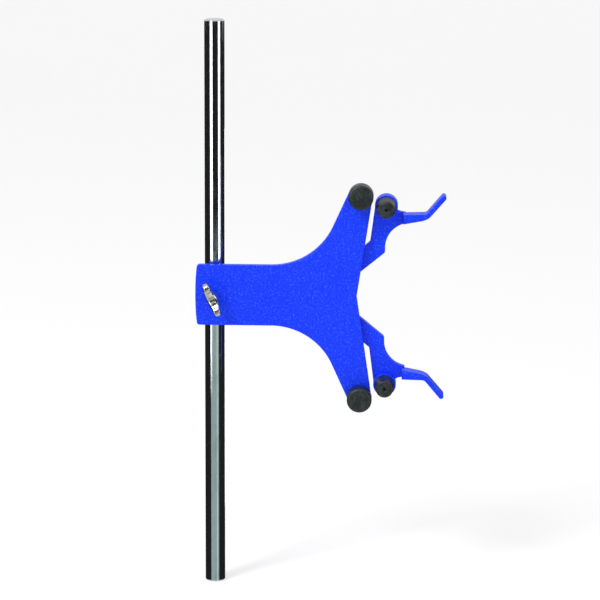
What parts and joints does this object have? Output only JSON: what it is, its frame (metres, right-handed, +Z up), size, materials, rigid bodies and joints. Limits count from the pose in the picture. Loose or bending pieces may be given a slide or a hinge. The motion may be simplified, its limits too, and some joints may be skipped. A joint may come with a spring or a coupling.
{
  "type": "retort stand rod with burette clamp",
  "caption": "Upright polished rod carrying a sliding burette clamp: a blue forked casting with rubber jaws, sprung finger levers and a wing screw.",
  "frame": {"origin": "centre of the flat lower end of the rod", "axes": "+Z up the rod's axis, +X from the rod towards the jaws, +Y from the clamp's face to its back"},
  "size_m": [0.1492, 0.0421, 0.345],
  "materials": {
    "chrome": "polished",
    "blue_coat": "satin",
    "black_rubber": "matte",
    "nickel": "gloss",
    "plain_steel": "satin",
    "spring_steel": "satin",
    "brass": "satin"
  },
  "bodies": {
    "rod": {"support_rod": "chrome"},
    "clamp": {"clamp_body": "blue_coat", "upper_jaw_stud": "plain_steel", "upper_jaw_cap": "black_rubber", "upper_pivot_pin": "plain_steel", "upper_thrust_washer": "plain_steel", "upper_torsion_spring": "spring_steel", "upper_back_washer": "plain_steel", "upper_retaining_clip": "spring_steel", "lower_jaw_stud": "plain_steel", "lower_jaw_cap": "black_rubber", "lower_pivot_pin": "plain_steel", "lower_thrust_washer": "plain_steel", "lower_torsion_spring": "spring_steel", "lower_back_washer": "plain_steel", "lower_retaining_clip": "spring_steel"},
    "pressure_pad": {"screw_pressure_pad": "brass"},
    "wing_screw": {"wing_screw": "nickel"},
    "upper_lever": {"upper_lever": "blue_coat", "upper_lever_stud": "plain_steel", "upper_lever_bung": "black_rubber"},
    "lower_lever": {"lower_lever": "blue_coat", "lower_lever_stud": "plain_steel", "lower_lever_bung": "black_rubber"}
  },
  "joints": [
    {"name": "clamp_slide", "type": "slide", "parent": "rod", "child": "clamp", "axis": [0, 0, 1], "range_m": [-0.108, 0.142]},
    {"name": "pad_advance", "type": "slide", "parent": "clamp", "child": "pressure_pad", "axis": [0, 1, 0], "range_m": [-0.0025, 0]},
    {"name": "screw_turn", "type": "hinge", "parent": "pressure_pad", "child": "wing_screw", "pos_m": [0, -0.0138, 0.181], "axis": [0, 1, 0], "range_deg": [-900.01, 0]},
    {"name": "upper_lever_hinge", "type": "hinge", "parent": "clamp", "child": "upper_lever", "pos_m": [0.0801, -0.0039, 0.1955], "axis": [0, 1, 0], "range_deg": [0, 24], "stiffness_Nm_per_rad": 1.1, "springref_deg": -12.03, "deforming": ["upper_torsion_spring"]},
    {"name": "lower_lever_hinge", "type": "hinge", "parent": "clamp", "child": "lower_lever", "pos_m": [0.0801, -0.0039, 0.1665], "axis": [0, -1, 0], "range_deg": [0, 24], "stiffness_Nm_per_rad": 1.1, "springref_deg": -12.03, "deforming": ["lower_torsion_spring"]}
  ],
  "couplings": [
    {"joint": "screw_turn", "follows": "pad_advance", "rad_per_m": 6283.2}
  ]
}
